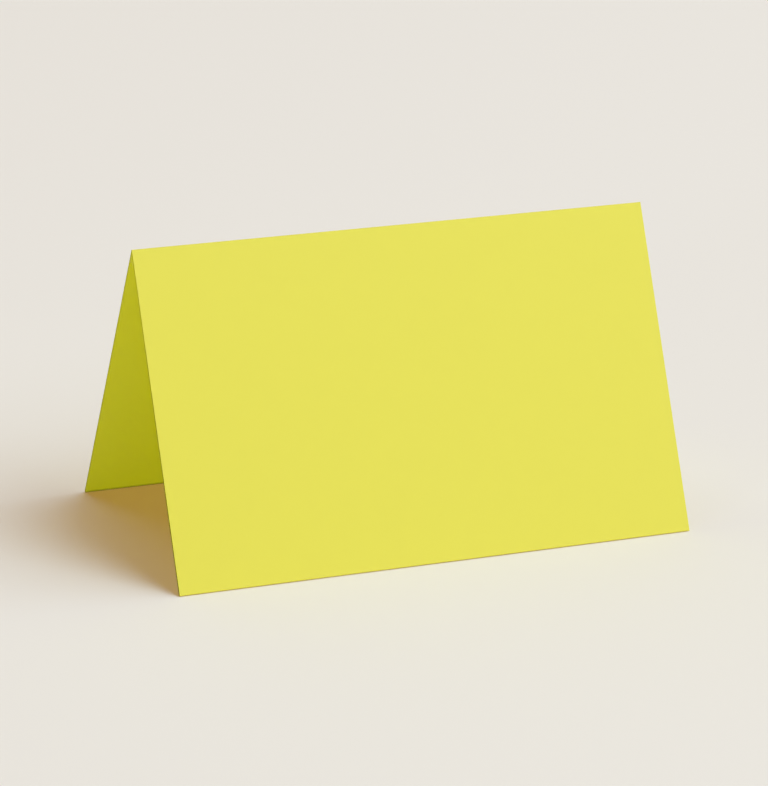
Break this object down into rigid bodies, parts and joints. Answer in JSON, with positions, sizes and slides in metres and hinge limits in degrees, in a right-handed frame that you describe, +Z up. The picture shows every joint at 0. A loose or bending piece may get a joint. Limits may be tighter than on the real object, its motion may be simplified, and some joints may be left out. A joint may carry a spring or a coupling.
{
  "type": "place card",
  "caption": "Tent-fold place card of plain yellow card, creased along the top, which stands on its two cut edges to show a guest's name.",
  "frame": {"origin": "on the table, under the fold, midway between the two standing edges", "axes": "+X along the fold, +Y from the front panel to the back panel, +Z up; the front panel faces -Y"},
  "size_m": [0.089, 0.0486, 0.0498],
  "materials": {
    "yellow_card": "matte"
  },
  "bodies": {
    "root": {"folded_card": "yellow_card"}
  },
  "joints": []
}
